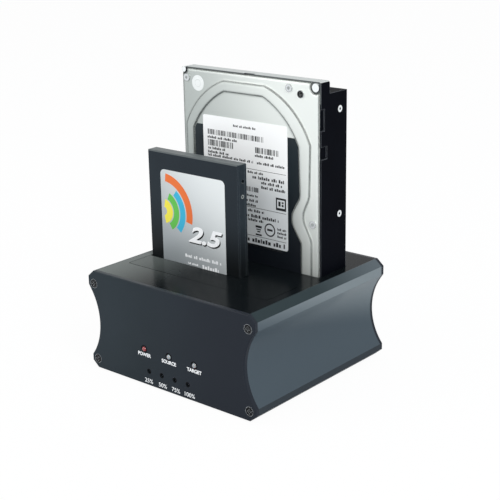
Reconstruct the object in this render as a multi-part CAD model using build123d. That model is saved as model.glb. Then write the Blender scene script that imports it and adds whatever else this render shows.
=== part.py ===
from build123d import *
import math
import os

# Two-bay drive duplicator with a 2.5 inch and a 3.5 inch drive standing in it, in millimetres.
# Origin on the table under the middle of the dock, +X to the right along the front, +Y to the back.

# 3.5 inch drive
hdd_width = 101.6
hdd_height = 147.0
hdd_thickness = 25.4
hdd_x = 1.5

# 2.5 inch drive
ssd_width = 69.85
ssd_height = 100.45
ssd_thickness = 7.0

# Drive slots in the top, cut to pass the larger drive
drive_end_play = 2.2
drive_side_play = 0.8
slot_spacing = 19.4
slot_corner = 1.6
slot_length = hdd_width + 2 * drive_end_play
slot_width = hdd_thickness + 2 * drive_side_play
bay_pitch = slot_width + slot_spacing

# Shell outline, seen from the front, and its length
shell_side_margin = 10.2
shell_end_margin = 20.3
shell_width = slot_length + 2 * shell_side_margin
shell_length = bay_pitch + slot_width + 2 * shell_end_margin
shell_top = 61.8
shell_wall = 2.2
foot_height = 1.2
corner_cut_x = 4.4
corner_cut_z = 3.8
upper_band = 5.2
lip_x = 1.3
lip_z = 1.9
lower_band = 3.8
waist_depth = 7.7

# Panels and what stands out of them
panel_thickness = 2.5
panel_edge_cut = 0.4
proud = 1.0

# Panel screws and the channels that take them
screw_side_inset = 4.6
screw_top_inset = 7.8
screw_bottom_inset = 5.8
screw_head_radius = 2.7
screw_head_depth = 1.5
screw_shank_radius = 1.3
screw_length = 10.0
channel_wall = 1.8

# Doors: the pin lies under the rim, forward of the slot
pivot_forward = 8.3
pivot_drop = 4.4
pin_radius = 1.0
barrel_radius = 1.9
door_thickness = 2.0
door_gap = 0.35
door_open_angle = 88.0
notch_end_play = 0.475
notch_side_play = 1.5
lug_inset = 5.5
inner_lug_x = 19.0
lug_width = 3.0
arm_inset = 11.0
arm_width = 4.0

# Bay mouldings
recess_depth = 12.0
bay_wall = 1.5
bay_floor_thickness = 1.8
bay_rim = 3.0
bay_end_room = 1.4
post_radius = 2.4
post_inset = 4.2

# Boards
board_thickness = 1.6
board_z = 17.0
board_screw_radius = 1.1

# Drive seats: both drives stand on the bay floors, with their plugs on one line
drive_bottom = 25.0
ssd_rise = 1.6
seat_gap = 0.2
hdd_plug_inset = 22.5
ssd_plug_inset = 25.425
plug_setback = 4.3
plug_face_offset = 3.5
tongue_thickness = 1.2

# Fits shared by many pieces
fit_gap = 0.05
loose_gap = 0.3
part_gap = 0.1
overrun = 2.0

# Places worked out from the sizes above
half_width = shell_width / 2
panel_rear_y = shell_length / 2
panel_front_y = -panel_rear_y
front_y = panel_front_y - panel_thickness
rear_y = panel_rear_y + panel_thickness
shell_inner_top = shell_top - shell_wall
arc_top = shell_top - corner_cut_z - upper_band - lip_z
arc_bottom = foot_height + corner_cut_z + lower_band
arc_middle = (arc_top + arc_bottom) / 2
waist_half = half_width - waist_depth
inner_waist = waist_half - shell_wall
screw_x = half_width - screw_side_inset
screw_zs = (shell_top - screw_top_inset, foot_height + screw_bottom_inset)
pivot_z = shell_top - pivot_drop
slot_half = slot_length / 2
hdd_half = hdd_width / 2
ssd_half = ssd_width / 2
plug_x = hdd_x - hdd_half + hdd_plug_inset
ssd_x = plug_x - ssd_plug_inset + ssd_half
notch_right = ssd_x + ssd_half + notch_end_play
notch_width = ssd_thickness + notch_side_play
board_top = board_z + board_thickness
board_half = inner_waist - loose_gap
bay_low_half = inner_waist - 2 * loose_gap
bay_floor_top = drive_bottom - seat_gap
bay_floor_z = bay_floor_top - bay_floor_thickness
bay_end_half = slot_half + loose_gap
door_swing_radius = math.hypot(pivot_forward + slot_width - door_gap, pivot_drop)
outer_lug_x = slot_half - lug_inset
arm_x = slot_half - arm_inset
post_x = slot_half - post_inset
middle = (Align.CENTER, Align.CENTER, Align.MIN)


def block(x0, x1, y0, y1, z0, z1):
    """A box between two corners."""
    return Pos(x0, y0, z0) * Box(x1 - x0, y1 - y0, z1 - z0, align=(Align.MIN, Align.MIN, Align.MIN))


def rod_x(x0, x1, y, z, radius):
    return Pos(x0, y, z) * Rot(0, 90, 0) * Cylinder(radius, x1 - x0, align=middle)


def rod_y(x, y0, y1, z, radius):
    return Pos(x, y0, z) * Rot(-90, 0, 0) * Cylinder(radius, y1 - y0, align=middle)


def rod_z(x, y, z0, z1, radius):
    return Pos(x, y, z0) * Cylinder(radius, z1 - z0, align=middle)


def cone_y(x, y0, y1, z, radius0, radius1):
    return Pos(x, y0, z) * Rot(-90, 0, 0) * Cone(radius0, radius1, y1 - y0, align=middle)


def group(pieces):
    """Separate solids that share one name."""
    return Compound(list(pieces))


def screw_places():
    return [(side * screw_x, z) for side in (-1, 1) for z in screw_zs]


# Shell and panels

def sleeve_outline():
    """The waisted outline with cut corners that the shell and both panels share."""
    inner_x = half_width - corner_cut_x
    with BuildSketch(Plane.XZ) as outline:
        with BuildLine():
            Polyline(
                (0, shell_top),
                (inner_x, shell_top),
                (half_width, shell_top - corner_cut_z),
                (half_width, arc_top + lip_z),
                (half_width - lip_x, arc_top),
            )
            ThreePointArc((half_width - lip_x, arc_top), (waist_half, arc_middle), (half_width, arc_bottom))
            Polyline(
                (half_width, arc_bottom),
                (half_width, foot_height + corner_cut_z),
                (inner_x, foot_height),
                (0, foot_height),
            )
            mirror(about=Plane.YZ)
        make_face()
    return outline.sketch


def extruded_outline(inset, y0, y1):
    face = sleeve_outline()
    if inset:
        face = offset(face, -inset, kind=Kind.INTERSECTION)
    return Pos(0, y1, 0) * extrude(face, amount=y1 - y0)


def bay_ys():
    """Front and rear bay centres."""
    return (-bay_pitch / 2, bay_pitch / 2)


def make_shell():
    """Aluminium extrusion: screw channels in the corners, grooves for the main board, two slots."""
    ends = (panel_front_y, panel_rear_y)
    outer = extruded_outline(0, *ends)
    shell = outer - extruded_outline(shell_wall, *ends)
    bore_radius = screw_shank_radius + fit_gap
    rib = 1.2
    rib_grip = 1.2
    inside = Part()
    for x, z in screw_places():
        inside += rod_y(x, *ends, z, bore_radius + channel_wall)
    for z in (board_z - part_gap - rib, board_top + part_gap):
        for side in (-1, 1):
            x0, x1 = sorted((side * (board_half - rib_grip), side * half_width))
            inside += block(x0, x1, *ends, z, z + rib)
    shell += inside & outer
    for x, z in screw_places():
        shell -= rod_y(x, *ends, z, bore_radius)
    for y in bay_ys():
        slot = Pos(0, y, shell_inner_top - overrun) * extrude(
            RectangleRounded(slot_length, slot_width, slot_corner), amount=shell_wall + 2 * overrun
        )
        shell -= slot
    return shell


def panel_blank(y0, y1, outer_y):
    """A flat plate of the shell's outline, with a cut edge on its outer face."""
    plate = extruded_outline(0, y0, y1)
    face = plate.faces().filter_by(Axis.Y).sort_by(Axis.Y)[0 if outer_y < 0 else -1]
    plate = chamfer(face.edges(), panel_edge_cut)
    for x, z in screw_places():
        plate -= rod_y(x, y0, y1, z, screw_shank_radius + part_gap)
        cone = cone_y(x, 0, screw_head_depth, z, screw_head_radius + part_gap, screw_shank_radius + part_gap)
        if outer_y < 0:
            plate -= Pos(0, y0, 0) * cone
        else:
            plate -= Pos(0, y1, 0) * cone.mirror(Plane.XZ)
    return plate


# Lamps in the front panel
lamp_radius = 1.5
lamp_flange_radius = 1.9
lamp_flange = 0.8
lamp_z = 23.0
lamp_pitch = 19.3
lamp_names = ("power_led", "source_led", "target_led")
progress_radius = 1.0
progress_hole_radius = 1.2
progress_recess = 0.9
progress_z = 10.1
progress_pitch = 10.0
progress_count = 4
progress_left = -16.0
indicator_half = 26.0
indicator_low = 5.2
indicator_high = 29.0


def lamp_xs():
    return [(i - (len(lamp_names) - 1) / 2) * lamp_pitch for i in range(len(lamp_names))]


def progress_xs():
    return [progress_left + i * progress_pitch for i in range(progress_count)]


def make_front_panel():
    plate = panel_blank(front_y, panel_front_y, -1)
    for x in lamp_xs():
        plate -= rod_y(x, front_y, panel_front_y, lamp_z, lamp_radius + part_gap)
    for x in progress_xs():
        plate -= rod_y(x, front_y, panel_front_y, progress_z, progress_hole_radius)
    return plate


# Sockets and controls in the rear panel, spread along the main board
usb_share = -0.151
jack_share = 0.302
switch_share = 0.717
button_share = -0.6415
usb_x = usb_share * board_half
usb_width = 12.0
usb_height = 10.8
usb_depth = 16.0
jack_x = jack_share * board_half
jack_width = 9.0
jack_height = 11.0
jack_depth = 14.0
jack_bore_radius = 3.0
switch_x = switch_share * board_half
switch_z = 26.6
switch_bezel = (15.0, 10.6)
switch_body = (13.0, 8.6)
switch_depth = 11.0
rocker_size = (10.6, 6.2)
rocker_angle = 14.0
button_x = button_share * board_half
button_z = 24.6
button_radius = 2.6
button_travel = 0.8


def make_rear_panel():
    plate = panel_blank(panel_rear_y, rear_y, 1)
    x_room = usb_width / 2 + part_gap
    plate -= block(usb_x - x_room, usb_x + x_room, panel_rear_y, rear_y, board_top - part_gap,
                   board_top + usb_height + part_gap)
    plate -= rod_y(jack_x, panel_rear_y, rear_y, board_top + jack_height / 2, jack_bore_radius + part_gap)
    body_x = switch_body[0] / 2 + part_gap
    body_z = switch_body[1] / 2 + part_gap
    plate -= block(switch_x - body_x, switch_x + body_x, panel_rear_y, rear_y, switch_z - body_z, switch_z + body_z)
    plate -= rod_y(button_x, panel_rear_y, rear_y, button_z, button_radius + part_gap)
    return plate


def countersunk_screw():
    """Cross-recessed screw along +Y from its head's face at y zero."""
    cross_length = 3.0
    cross_width = 0.6
    cross_depth = 1.1
    screw = cone_y(0, 0, screw_head_depth, 0, screw_head_radius, screw_shank_radius)
    screw += rod_y(0, screw_head_depth, screw_length, 0, screw_shank_radius)
    for length, width in ((cross_length, cross_width), (cross_width, cross_length)):
        screw -= block(-length / 2, length / 2, 0, cross_depth, -width / 2, width / 2)
    return screw


def make_panel_screws(outer_y):
    screw = countersunk_screw()
    if outer_y > 0:
        screw = screw.mirror(Plane.XZ)
    face_y = front_y if outer_y < 0 else rear_y
    return group(Pos(x, face_y, z) * screw for x, z in screw_places())


def make_feet():
    """Four stick-on rubber discs."""
    foot_radius = 7.0
    foot_inset_x = 14.0
    foot_inset_y = 12.0
    foot_edge = 0.3
    foot = rod_z(0, 0, 0, foot_height, foot_radius)
    foot = chamfer(foot.edges().group_by(Axis.Z)[0], foot_edge)
    x = half_width - foot_inset_x
    y = rear_y - foot_inset_y
    return group(Pos(i * x, j * y, 0) * foot for i in (-1, 1) for j in (-1, 1))


# Bays: each is worked out from its slot's front and rear edges

def slot_edges(bay_y):
    return bay_y - slot_width / 2, bay_y + slot_width / 2


def pivot_y(bay_y):
    return slot_edges(bay_y)[0] - pivot_forward


def socket_y(bay_y):
    return slot_edges(bay_y)[1] - plug_setback


def waist_end_z():
    """How low the bays can keep their end walls before the waisted sides close in on them."""
    half_chord = (arc_top - arc_bottom) / 2
    waist_radius = (half_chord ** 2 + waist_depth ** 2) / (2 * waist_depth)
    reach = waist_half + waist_radius - (bay_end_half + bay_wall + bay_end_room)
    return arc_middle + math.sqrt((waist_radius + shell_wall) ** 2 - reach ** 2)


def floor_front_y(bay_y):
    """Front edge of a bay's floor, just behind the arc that the door's free edge swings through."""
    drop = pivot_z - bay_floor_top
    if drop >= door_swing_radius:
        return pivot_y(bay_y) + barrel_radius
    return pivot_y(bay_y) + math.sqrt(door_swing_radius ** 2 - drop ** 2) + loose_gap


socket_half = 19.2
socket_half_y = 2.7


def bay_posts(bay_y):
    front_slot, rear_slot = slot_edges(bay_y)
    front = front_slot - recess_depth + loose_gap - bay_wall / 2
    rear = rear_slot - post_radius
    return [(side * post_x, y) for side in (-1, 1) for y in (front, rear)]


def make_bay(bay_y):
    """Moulded well under a slot: walls, floor, door recess with hinge lugs, and posts on the board."""
    front_slot, rear_slot = slot_edges(bay_y)
    cavity_front = front_slot - recess_depth
    cavity_rear = rear_slot + loose_gap
    wall_low = bay_floor_z - bay_wall
    end_z = waist_end_z()
    end = bay_end_half
    outer_end = end + bay_wall
    rim_end = slot_half + bay_rim
    outer_front = cavity_front - bay_wall
    outer_rear = cavity_rear + bay_wall
    bay = block(-outer_end, outer_end, outer_front, outer_rear, end_z, shell_inner_top)
    bay += block(-rim_end, rim_end, outer_front, outer_rear, shell_inner_top - bay_wall, shell_inner_top)
    bay += block(-bay_low_half, bay_low_half, outer_front, outer_rear, wall_low, end_z)
    bay -= block(-end, end, cavity_front, cavity_rear, wall_low, shell_inner_top)
    bay += block(-bay_low_half, bay_low_half, floor_front_y(bay_y), cavity_rear, bay_floor_z, bay_floor_top)
    for x in (-outer_lug_x, -inner_lug_x, inner_lug_x, outer_lug_x):
        lug = block(x - lug_width / 2, x + lug_width / 2, cavity_front, pivot_y(bay_y),
                    pivot_z - barrel_radius, pivot_z + barrel_radius)
        lug += rod_x(x - lug_width / 2, x + lug_width / 2, pivot_y(bay_y), pivot_z, barrel_radius)
        bay += lug
    bay -= rod_x(-slot_half, slot_half, pivot_y(bay_y), pivot_z, pin_radius + fit_gap)
    for x, y in bay_posts(bay_y):
        top = bay_floor_top if y > bay_y else wall_low + bay_wall
        bay += rod_z(x, y, board_top, top, post_radius)
        bay -= rod_z(x, y, board_top, top - bay_wall, board_screw_radius + fit_gap)
    plug_y = socket_y(bay_y)
    x_room = socket_half + loose_gap
    y_room = socket_half_y + loose_gap
    bay -= block(plug_x - x_room, plug_x + x_room, plug_y - y_room, plug_y + y_room, bay_floor_z, bay_floor_top)
    return bay


def make_bay_screws():
    """Pan-head screws that go up through the main board into the bay posts."""
    head_radius = 2.0
    head_height = 1.3
    grip_length = 4.5
    pieces = []
    for bay_y in bay_ys():
        for x, y in bay_posts(bay_y):
            screw = rod_z(x, y, board_z - head_height, board_z, head_radius)
            screw += rod_z(x, y, board_z, board_z + grip_length, board_screw_radius)
            pieces.append(screw)
    return group(pieces)


def make_closed_door(bay_y):
    """Sprung flap, flush with the top: notched plate on two gooseneck arms that reach under the rim."""
    front_slot, rear_slot = slot_edges(bay_y)
    rib_width = 1.2
    rib_depth = 1.0
    rib_inset = 6.0
    neck = 2.4
    door_half = slot_half - door_gap
    front = front_slot + door_gap
    rear = rear_slot - door_gap
    underside = shell_top - door_thickness
    plate = Pos(0, bay_y, underside) * extrude(
        RectangleRounded(2 * door_half, rear - front, slot_corner), amount=door_thickness
    )
    plate -= block(-slot_half, notch_right, rear_slot - notch_width, rear_slot, underside, shell_top)
    corners = plate.edges().filter_by(Axis.Z).filter_by(lambda e: abs(e.center().X - notch_right) < door_gap)
    plate = fillet(corners, slot_corner / 2)
    plate += block(-door_half + rib_inset, door_half - rib_inset, front + rib_inset, front + rib_inset + rib_width,
                   underside - rib_depth, underside)
    for x in (-arm_x, arm_x):
        x0, x1 = x - arm_width / 2, x + arm_width / 2
        arm = block(x0, x1, pivot_y(bay_y), front + neck, pivot_z - neck / 2, pivot_z + neck / 2)
        arm += block(x0, x1, front, front + neck, pivot_z - neck / 2, underside)
        arm += block(x0, x1, front + neck, front + rib_inset, underside - rib_depth, underside)
        arm += rod_x(x0, x1, pivot_y(bay_y), pivot_z, barrel_radius)
        arm -= rod_x(x0, x1, pivot_y(bay_y), pivot_z, pin_radius + fit_gap)
        plate += arm
    return plate


def swung(piece, bay_y, angle):
    """A piece turned about its bay's door pin."""
    place = Pos(0, pivot_y(bay_y), pivot_z)
    return place * Rot(-angle, 0, 0) * place.inverse() * piece


def make_pin(bay_y):
    end = outer_lug_x + lug_width / 2
    return rod_x(-end, end, pivot_y(bay_y), pivot_z, pin_radius)


def make_door_spring(bay_y, open_angle):
    """Torsion spring on the pin: one leg bears on the recess wall, the other under the door."""
    wire = 0.25
    wire_sides = 4
    coil_radius = 1.55
    pitch = 0.9
    turns = 3
    leg_wall = 3.4
    leg_door = 13.0
    start_x = -arm_x + arm_width / 2 + loose_gap
    length = pitch * turns
    helix = Helix(pitch=pitch, height=length, radius=coil_radius)
    coil = sweep(Plane(origin=helix @ 0, z_dir=helix % 0) * RegularPolygon(wire, wire_sides), path=helix)
    spring = Pos(start_x, pivot_y(bay_y), pivot_z) * Rot(0, 90, 0) * coil
    low = pivot_z - coil_radius
    wall_leg = rod_y(start_x, pivot_y(bay_y) - leg_wall, pivot_y(bay_y), low, wire)
    door_leg = Rot(-open_angle, 0, 0) * rod_y(0, 0, leg_door, -coil_radius, wire)
    return group([spring, wall_leg, Pos(start_x + length, pivot_y(bay_y), pivot_z) * door_leg])


# Boards and what stands on them

def make_main_board():
    """Circuit board that slides into the shell's grooves, drilled for the bay screws."""
    board_inset = 0.5
    front = panel_front_y + board_front_gap
    board = block(-board_half, board_half, front, panel_rear_y - board_inset, board_z, board_top)
    for bay_y in bay_ys():
        for x, y in bay_posts(bay_y):
            board -= rod_z(x, y, board_z, board_top, board_screw_radius + fit_gap)
    return board


board_front_gap = 5.5
signal_width = 10.4
power_width = 20.6
tongue_gap = 1.6
socket_slot_gap = 0.2


def tongues(y, z0, z1, grow):
    """The short signal tongue and the long power tongue of a drive plug, or their slots when grown."""
    total = signal_width + tongue_gap + power_width
    left = plug_x - total / 2
    half = tongue_thickness / 2 + grow
    pieces = block(left - grow, left + signal_width + grow, y - half, y + half, z0, z1)
    power_left = left + signal_width + tongue_gap
    pieces += block(power_left - grow, power_left + power_width + grow, y - half, y + half, z0, z1)
    return pieces


def make_socket(bay_y):
    """Upright receptacle on the main board with two slots for the plug's tongues."""
    socket_rise = 3.8
    lead_in = 0.5
    y = socket_y(bay_y)
    top = drive_bottom + socket_rise
    body = block(plug_x - socket_half, plug_x + socket_half, y - socket_half_y, y + socket_half_y, board_top, top)
    body = chamfer(body.edges().group_by(Axis.Z)[-1], lead_in)
    slot_floor = drive_bottom + tongue_low - loose_gap
    return body - tongues(y, slot_floor, top, socket_slot_gap)


def make_usb_socket():
    """Square data socket: folded metal can with cut top corners, and a tongue in its mouth."""
    can_wall = 0.5
    corner = 2.4
    mouth_depth = 9.0
    tongue_x = 2.8
    tongue_z = 1.6
    z0 = board_top
    z1 = board_top + usb_height
    x0 = usb_x - usb_width / 2
    x1 = usb_x + usb_width / 2
    y0 = rear_y - usb_depth
    can = block(x0, x1, y0, rear_y, z0, z1)
    mouth = block(x0 + can_wall, x1 - can_wall, rear_y - mouth_depth, rear_y, z0 + can_wall, z1 - can_wall)
    top_corners = mouth.edges().filter_by(Axis.Y).group_by(Axis.Z)[-1]
    can -= chamfer(top_corners, corner)
    centre_z = (z0 + z1) / 2
    can += block(usb_x - tongue_x, usb_x + tongue_x, rear_y - mouth_depth, rear_y - can_wall,
                 centre_z - tongue_z, centre_z + tongue_z)
    return can


def make_power_jack():
    """Round low-voltage inlet with its centre pin."""
    bore_depth = 9.5
    centre_pin_radius = 1.0
    z = board_top + jack_height / 2
    y0 = panel_rear_y - jack_depth
    jack = block(jack_x - jack_width / 2, jack_x + jack_width / 2, y0, panel_rear_y - fit_gap, board_top,
                 board_top + jack_height)
    jack += rod_y(jack_x, panel_rear_y - fit_gap, rear_y, z, jack_bore_radius)
    jack -= rod_y(jack_x, rear_y - bore_depth, rear_y, z, jack_bore_radius - loose_gap)
    jack += rod_y(jack_x, rear_y - bore_depth, rear_y - proud, z, centre_pin_radius)
    return jack


def make_switch_body():
    """Rocker switch housing: bezel on the panel, body through it, and pins down to the board."""
    bezel_thickness = 1.0
    pin_width = 1.6
    pin_thickness = 0.6
    pin_pitch = 4.0
    bezel_x, bezel_z = (size / 2 for size in switch_bezel)
    body_x, body_z = (size / 2 for size in switch_body)
    well_x = rocker_size[0] / 2 + rocker_swing_gap
    well_z = rocker_size[1] / 2 + rocker_side_gap
    front = panel_rear_y - switch_depth
    body = block(-bezel_x, bezel_x, rear_y, rear_y + bezel_thickness, -bezel_z, bezel_z)
    body = chamfer(body.faces().sort_by(Axis.Y)[-1].edges(), loose_gap)
    body += block(-body_x, body_x, front, rear_y, -body_z, body_z)
    body -= block(-well_x, well_x, rear_y - rocker_room, rear_y + bezel_thickness, -well_z, well_z)
    trunnion_end = rocker_size[1] / 2 + trunnion_length + fit_gap
    body -= rod_z(0, rear_y - rocker_axis_depth, -trunnion_end, trunnion_end, trunnion_radius + fit_gap)
    for x in (-pin_pitch, 0, pin_pitch):
        body += block(x - pin_width / 2, x + pin_width / 2, front - pin_thickness, front,
                      board_top - switch_z, loose_gap)
    return Pos(switch_x, 0, switch_z) * body


rocker_room = 6.0
rocker_axis_depth = 2.6
rocker_sink = 0.35
rocker_foot = 1.5
rocker_swing_gap = 0.5
rocker_side_gap = 0.2
trunnion_radius = 0.8
trunnion_length = 0.7


def make_rocker():
    """Rocker in its off position: two flats that meet at a shallow angle over its trunnions."""
    half = rocker_size[0] / 2
    deep = rocker_size[1] / 2
    crown = rocker_axis_depth - rocker_sink
    rise = half * math.tan(math.radians(rocker_angle / 2))
    with BuildSketch() as section:
        with BuildLine():
            Polyline(
                (-half, -rocker_foot),
                (half, -rocker_foot),
                (half, crown + rise),
                (0, crown),
                (-half, crown + rise),
                close=True,
            )
        make_face()
    rocker = Pos(0, 0, -deep) * extrude(section.sketch, amount=rocker_size[1])
    rocker += rod_z(0, 0, -deep - trunnion_length, deep + trunnion_length, trunnion_radius)
    return Pos(switch_x, rear_y - rocker_axis_depth, switch_z) * Rot(0, 0, rocker_angle / 2) * rocker


# Copy button: the cap's stem presses into the switch that stands behind it
button_stem_radius = 1.6
button_flange = 0.8
button_stem_reach = 0.3
button_switch_setback = 5.0
button_switch_front = panel_rear_y - button_switch_setback


def make_copy_button():
    flange_radius = 3.4
    dome_cut = 0.4
    inner = panel_rear_y - part_gap - button_flange
    cap = rod_y(button_x, inner, rear_y + proud, button_z, button_radius)
    cap = chamfer(cap.edges().group_by(Axis.Y)[-1], dome_cut)
    cap += rod_y(button_x, inner, inner + button_flange, button_z, flange_radius)
    return cap + rod_y(button_x, button_switch_front - button_stem_reach, inner, button_z, button_stem_radius)


def make_button_switch():
    """Push switch on the main board, with a well for the stem."""
    half = 3.0
    depth = 4.0
    top = button_z + half
    body = block(button_x - half, button_x + half, button_switch_front - depth, button_switch_front, board_top, top)
    well = button_stem_reach + button_travel + loose_gap
    return body - rod_y(button_x, button_switch_front - well, button_switch_front, button_z,
                        button_stem_radius + part_gap)


# Indicator board behind the front panel
indicator_room = 3.8


def indicator_face_y():
    return panel_front_y + indicator_room


def make_indicator_board():
    y0 = indicator_face_y()
    board = block(-indicator_half, indicator_half, y0, y0 + board_thickness, indicator_low, indicator_high)
    return board


def make_indicator_header():
    """Right-angle pin strip that joins the two boards."""
    half = 11.0
    depth = 2.4
    height = 2.5
    y0 = panel_front_y + board_front_gap
    return block(-half, half, y0, y0 + depth, board_top, board_top + height)


def make_lamp(x):
    """Round domed lamp with a flange behind the panel and two leads to its board."""
    lead = 0.25
    lead_x = 1.27
    shoulder = front_y - proud + lamp_radius
    flange_y = panel_front_y + part_gap
    lamp = rod_y(x, shoulder, flange_y, lamp_z, lamp_radius) + Pos(x, shoulder, lamp_z) * Sphere(lamp_radius)
    lamp += rod_y(x, flange_y, flange_y + lamp_flange, lamp_z, lamp_flange_radius)
    for side in (-1, 1):
        centre = x + side * lead_x
        lamp += block(centre - lead, centre + lead, flange_y + lamp_flange, indicator_face_y(),
                      lamp_z - lead, lamp_z + lead)
    return lamp


def make_progress_leds():
    """Small flat lamps with cut rims, sunk in their holes."""
    rim = 0.3
    lamps = []
    for x in progress_xs():
        lamp = rod_y(x, front_y + progress_recess, indicator_face_y(), progress_z, progress_radius)
        lamps.append(chamfer(lamp.faces().sort_by(Axis.Y)[0].edges(), rim))
    return group(lamps)


def make_bridge_chips():
    """One square controller under each bay."""
    half = 7.0
    height = 1.4
    x = 24.0
    edge = 0.3
    chips = []
    for bay_y in bay_ys():
        chip = block(x - half, x + half, bay_y - half, bay_y + half, board_top, board_top + height)
        chips.append(chamfer(chip.edges().group_by(Axis.Z)[-1], edge))
    return group(chips)


def make_capacitors():
    """Row of upright capacitors along the board's rear edge."""
    count = 3
    radius = 2.5
    height = 6.5
    pitch = 6.2
    first_x = -19.3
    rear_inset = 14.0
    cans = []
    for i in range(count):
        can = rod_z(first_x - i * pitch, panel_rear_y - rear_inset, board_top, board_top + height, radius)
        cans.append(chamfer(can.edges().group_by(Axis.Z)[-1], loose_gap))
    return group(cans)


# Both drives are drawn with their front face at y zero, their bottom at z zero and x zero in their middle
plug_back = 1.8
plug_room = 7.2
plug_half = 19.8
plug_half_y = 2.9
tongue_low = 0.6


def drive_front(bay_y, thickness):
    return socket_y(bay_y) + plug_face_offset - thickness


def placed(piece, drive_x, bay_y, thickness, bottom):
    return Pos(drive_x, drive_front(bay_y, thickness), bottom) * piece


def plug_recess(drive_x, thickness):
    """Room for the plug, open at the drive's bottom and back."""
    x = plug_x - drive_x
    half = plug_half + loose_gap
    front = thickness - plug_face_offset - plug_half_y - part_gap
    return block(x - half, x + half, front, thickness, 0, plug_room)


def make_drive_plug(drive_x, thickness):
    """Plug of a drive: a back plate in the recess with two tongues that point down."""
    x = plug_x - drive_x
    y = thickness - plug_face_offset
    plug = block(x - plug_half, x + plug_half, y - plug_half_y, y + plug_half_y, plug_room - plug_back, plug_room)
    return plug + Pos(-drive_x, 0, 0) * tongues(y, tongue_low, plug_room - plug_back, 0)


# 3.5 inch drive

cover_inset = 0.8
cover_thickness = 1.0
ridge_height = 0.6
ridge_corner_share = 0.0476
ridge_bend_share = 0.0612
ridge_shares = (
    (
        (-0.36, 0.9625), (0.244, 0.9625), (0.876, 0.76), (0.862, 0.557), (0.78, 0.493), (0.78, 0.46), (0.892, 0.386),
        (0.892, 0.09), (-0.943, 0.09), (-0.943, 0.775),
    ),
    (
        (-0.354, 0.9205), (0.2125, 0.9205), (0.713, 0.748), (0.73, 0.548), (0.614, 0.482), (0.614, 0.44),
        (0.745, 0.369), (0.745, 0.135), (-0.827, 0.135), (-0.827, 0.76),
    ),
)
label_thickness = 0.15
damper_thickness = 0.1
left_boss_radius = 1.7
left_boss_inset = 1.5
right_boss_radius = 2.4
right_boss_inset = 3.1
boss_gap = 1.2
cover_screw_radius = 2.2
cover_screw_shares = (
    (-0.923, 0.958), (0.583, 0.967), (0.744, 0.949), (0.9065, 0.4545), (-0.92, 0.045), (0.906, 0.045),
)
well_wall = 3.6
well_top_room = 9.8
well_radius = hdd_half - well_wall
well_z = hdd_height - well_top_room - well_radius
hdd_side_hole_zs = (28.5, 70.0, 130.1)
hdd_side_hole_depth_y = 6.35
hdd_board_low = 8.5
hdd_board_high = 92.0
hdd_board_half = 46.0
hdd_pocket = 1.7
hdd_board_thickness = 1.0
motor_radius = 13.0
motor_gap = 0.8


def hdd_point(share_x, share_z):
    return (share_x * hdd_half, share_z * hdd_height)


def corner_bosses():
    """Centre and radius of the raised boss in each top corner."""
    left_x = left_boss_inset - hdd_half
    right_x = hdd_half - right_boss_inset
    return [(left_x, hdd_height - left_boss_inset, left_boss_radius),
            (right_x, hdd_height - right_boss_inset, right_boss_radius)]


def upright_face(sketch, y):
    """A flat sketch stood up in the plane at y."""
    return Pos(0, y, 0) * Rot(90, 0, 0) * sketch


def make_hdd_casting():
    """Cast tub: round well for the platters, thin top end, motor hub in the board's pocket, tapped sides."""
    well_depth = 15.0
    front = ridge_height + cover_thickness
    top_step = 7.0
    top_thickness = 9.5
    pocket_depth = 0.8
    long_pocket_shares = (0.816, 0.898)
    square_pocket_shares = (0.7075, 0.7565)
    long_pocket_depth = 3.2
    square_pocket_depth = 5.4
    notch_half = 3.6
    notch_depth = 1.6
    hub_ring = 3.0
    hub_groove = 0.6
    corner = 1.5
    hole_radius = 1.4
    hole_depth = 4.5
    blank = block(-hdd_half, hdd_half, ridge_height, hdd_thickness, 0, hdd_height)
    blank = fillet(blank.edges().filter_by(Axis.Y), corner)
    tub = blank - block(-hdd_half, hdd_half, 0, front, 0, hdd_height)
    tub -= block(-hdd_half, hdd_half, top_thickness, hdd_thickness, hdd_height - top_step, hdd_height)
    for x, z, radius in corner_bosses():
        tub += blank & rod_y(x, ridge_height, front, z, radius)
    for side in (-1, 1):
        x0, x1 = sorted((side * hdd_half, side * (hdd_half - pocket_depth)))
        for shares, depth in ((long_pocket_shares, long_pocket_depth), (square_pocket_shares, square_pocket_depth)):
            z0, z1 = (share * hdd_height for share in shares)
            tub -= block(x0, x1, front, front + depth, z0, z1)
    tub -= block(-notch_half, notch_half, front, front + notch_depth, hdd_height - notch_depth, hdd_height)
    room = hdd_board_half + part_gap
    pocket_y = hdd_thickness - hdd_pocket
    pocket = block(-room, room, pocket_y, hdd_thickness, hdd_board_low - part_gap, hdd_board_high + part_gap)
    pocket += rod_y(0, pocket_y, hdd_thickness, well_z, motor_radius + motor_gap)
    tub -= pocket - rod_y(0, pocket_y, hdd_thickness, well_z, motor_radius)
    groove = rod_y(0, hdd_thickness - hub_groove, hdd_thickness, well_z, motor_radius - hub_ring)
    tub -= groove - rod_y(0, hdd_thickness - hub_groove, hdd_thickness, well_z, motor_radius - 2 * hub_ring)
    tub -= rod_y(0, front, front + well_depth, well_z, well_radius)
    tub -= plug_recess(hdd_x, hdd_thickness)
    for z in hdd_side_hole_zs:
        y = hdd_thickness - hdd_side_hole_depth_y
        for x in (-hdd_half, hdd_half - hole_depth):
            tub -= rod_x(x, x + hole_depth, y, z, hole_radius)
    for x, z in hdd_board_screws():
        tub -= rod_y(x, pocket_y - hole_depth, pocket_y, z, screw_shank_radius + fit_gap)
    return tub


def hdd_board_screws():
    inset = 4.0
    x = hdd_board_half - inset
    return [(side * x, z) for side in (-1, 1) for z in (hdd_board_low + 2 * inset, hdd_board_high - inset)]


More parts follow.
